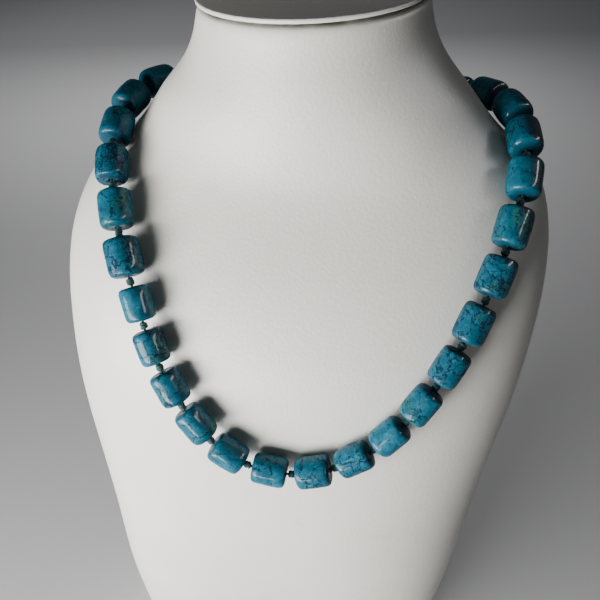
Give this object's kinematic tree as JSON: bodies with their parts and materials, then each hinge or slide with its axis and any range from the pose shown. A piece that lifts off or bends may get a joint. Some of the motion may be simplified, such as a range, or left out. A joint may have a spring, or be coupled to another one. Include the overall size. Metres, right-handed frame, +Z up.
{
  "type": "beaded necklace on a neck bust",
  "caption": "Knotted strand of drum-shaped turquoise stone beads, laid as a closed loop round a plain white neck bust with a flat round neck top.",
  "frame": {"origin": "middle of the bounding box's underside, on the surface that the bust stands on", "axes": "+Z up, -Y the way the bust's chest faces, +X to the right of someone looking at the chest"},
  "size_m": [0.1824, 0.1288, 0.3219],
  "materials": {
    "turquoise": "polished",
    "thread": "twisted, matt",
    "clasp_metal": "satin",
    "leatherette": "fine-grained, satin",
    "neck_board": "fine-grained, satin"
  },
  "bodies": {
    "root": {"bead_01": "turquoise", "bead_02": "turquoise", "bead_03": "turquoise", "bead_04": "turquoise", "bead_05": "turquoise", "bead_06": "turquoise", "bead_07": "turquoise", "bead_08": "turquoise", "bead_09": "turquoise", "bead_10": "turquoise", "bead_11": "turquoise", "bead_12": "turquoise", "bead_13": "turquoise", "bead_14": "turquoise", "bead_15": "turquoise", "bead_16": "turquoise", "bead_17": "turquoise", "bead_18": "turquoise", "bead_19": "turquoise", "bead_20": "turquoise", "bead_21": "turquoise", "bead_22": "turquoise", "bead_23": "turquoise", "bead_24": "turquoise", "bead_25": "turquoise", "bead_26": "turquoise", "bead_27": "turquoise", "bead_28": "turquoise", "bead_29": "turquoise", "bead_30": "turquoise", "thread": "thread", "clasp": "clasp_metal", "bust_body": "leatherette", "bust_cap": "neck_board"}
  },
  "joints": []
}
